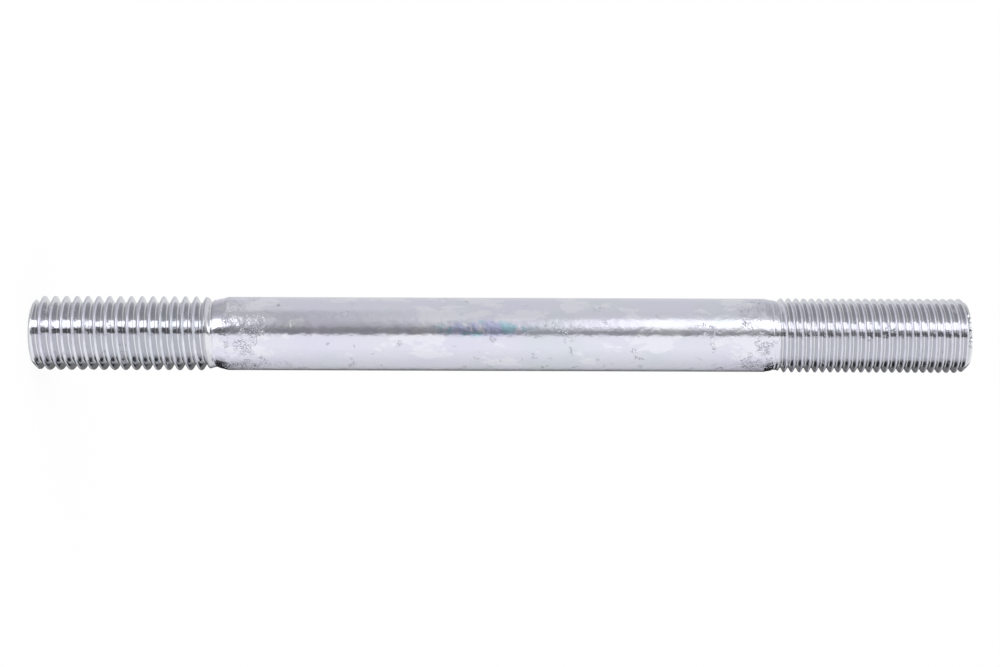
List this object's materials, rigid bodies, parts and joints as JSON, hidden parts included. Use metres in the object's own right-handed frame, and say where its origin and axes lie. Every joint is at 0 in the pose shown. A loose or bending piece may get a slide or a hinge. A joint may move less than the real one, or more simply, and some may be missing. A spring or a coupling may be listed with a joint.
{
  "type": "cylinder head stud",
  "caption": "Straight steel stud with a plain shank, a coarse thread at the block end and a fine thread at the nut end, for holding down an engine's cylinder head.",
  "frame": {"origin": "centre of the block end's flat face, on the axis, where the stud stands", "axes": "+Z along the axis from the coarse block end up to the fine nut end, as the stud stands in a block; -Y is its front"},
  "size_m": [0.012, 0.012, 0.1507],
  "materials": {
    "zinc_plated_steel": "bright zinc plate with a clear, faintly blue passivation"
  },
  "bodies": {
    "root": {"stud": "zinc_plated_steel"}
  },
  "joints": []
}
